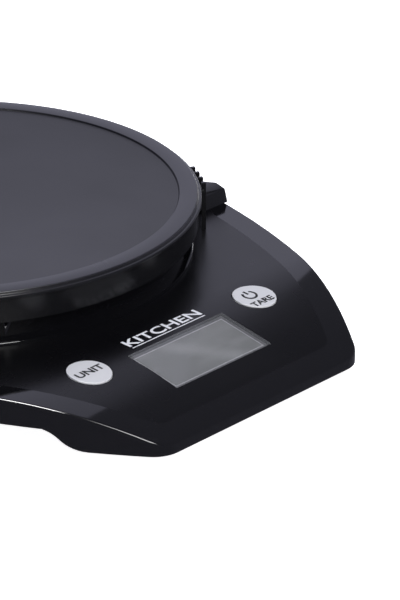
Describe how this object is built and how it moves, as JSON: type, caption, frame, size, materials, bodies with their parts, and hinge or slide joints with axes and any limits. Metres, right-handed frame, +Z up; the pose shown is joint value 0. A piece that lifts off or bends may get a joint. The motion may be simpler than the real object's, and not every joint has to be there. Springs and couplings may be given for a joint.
{
  "type": "kitchen scale",
  "caption": "Low battery-powered kitchen scale with a round lift-off weighing tray, a sloping control panel with a display, and push buttons.",
  "frame": {"origin": "centre of the overall footprint, on the table", "axes": "+Z up, front edge with the display towards -Y, +X to the user's right"},
  "size_m": [0.1728, 0.218, 0.0335],
  "materials": {
    "gloss_black": "glossy moulded ABS",
    "matt_black": "fine spark texture",
    "panel_black": "satin film",
    "grip_black": "satin moulding",
    "tray_black": "fine satin texture, glossy skirt",
    "rubber": "matt",
    "carrier_plastic": "natural moulding",
    "aluminium": "milled",
    "sealant": "silicone",
    "zinc_steel": "zinc plated",
    "button_white": "satin, printed legend",
    "switch_black": "moulded",
    "clear_lens": "polished acrylic",
    "display_glass": "liquid crystal glass, blank",
    "diffuser_white": "opal",
    "strip_rubber": "conductive layers",
    "board_green": "solder mask",
    "socket_white": "nylon",
    "resin_black": "epoxy",
    "battery_jacket": "printed film jacket",
    "spring_steel": "nickel plated",
    "lead_white": "insulation",
    "lead_red": "insulation"
  },
  "bodies": {
    "casing": {"top_housing": "gloss_black", "bottom_cover": "matt_black", "panel_inlay": "panel_black", "side_grip_right": "grip_black", "side_grip_left": "grip_black", "load_cell": "aluminium", "strain_gauges": "sealant", "lower_spacer": "zinc_steel", "lower_cell_screws": "zinc_steel", "tactile_switches": "switch_black", "display_lens": "clear_lens", "lcd_glass": "display_glass", "light_diffuser": "diffuser_white", "lcd_holder": "carrier_plastic", "elastomer_strip": "strip_rubber", "circuit_board": "board_green", "board_screws": "zinc_steel", "lead_sockets": "socket_white", "chip_cover": "resin_black", "battery_cells": "battery_jacket", "battery_springs": "spring_steel", "battery_contacts": "spring_steel", "rubber_feet": "rubber", "case_screws": "zinc_steel", "load_cell_lead": "lead_white", "battery_lead": "lead_red"},
    "platform": {"platform_carrier": "carrier_plastic", "tray_pad": "rubber", "upper_spacer": "zinc_steel", "upper_cell_screws": "zinc_steel"},
    "tray": {"tray": "tray_black"},
    "unit_button": {"unit_button": "button_white", "unit_plunger": "switch_black"},
    "tare_button": {"tare_button": "button_white", "tare_plunger": "switch_black"},
    "battery_door": {"battery_door": "matt_black"}
  },
  "joints": [
    {"name": "platform_deflection", "type": "slide", "parent": "casing", "child": "platform", "axis": [0, 0, -1], "range_m": [0, 0.0005], "stiffness_N_per_m": 98000, "deforming": ["load_cell"]},
    {"name": "tray_lift", "type": "slide", "parent": "platform", "child": "tray", "axis": [0, 0, 1], "range_m": [0, 0.06]},
    {"name": "unit_press", "type": "slide", "parent": "casing", "child": "unit_button", "axis": [0, 0, -1], "range_m": [0, 0.0008], "stiffness_N_per_m": 2500},
    {"name": "tare_press", "type": "slide", "parent": "casing", "child": "tare_button", "axis": [0, 0, -1], "range_m": [0, 0.0008], "stiffness_N_per_m": 2500},
    {"name": "battery_door_slide", "type": "slide", "parent": "casing", "child": "battery_door", "axis": [0, 1, 0], "range_m": [0, 0.055]}
  ]
}
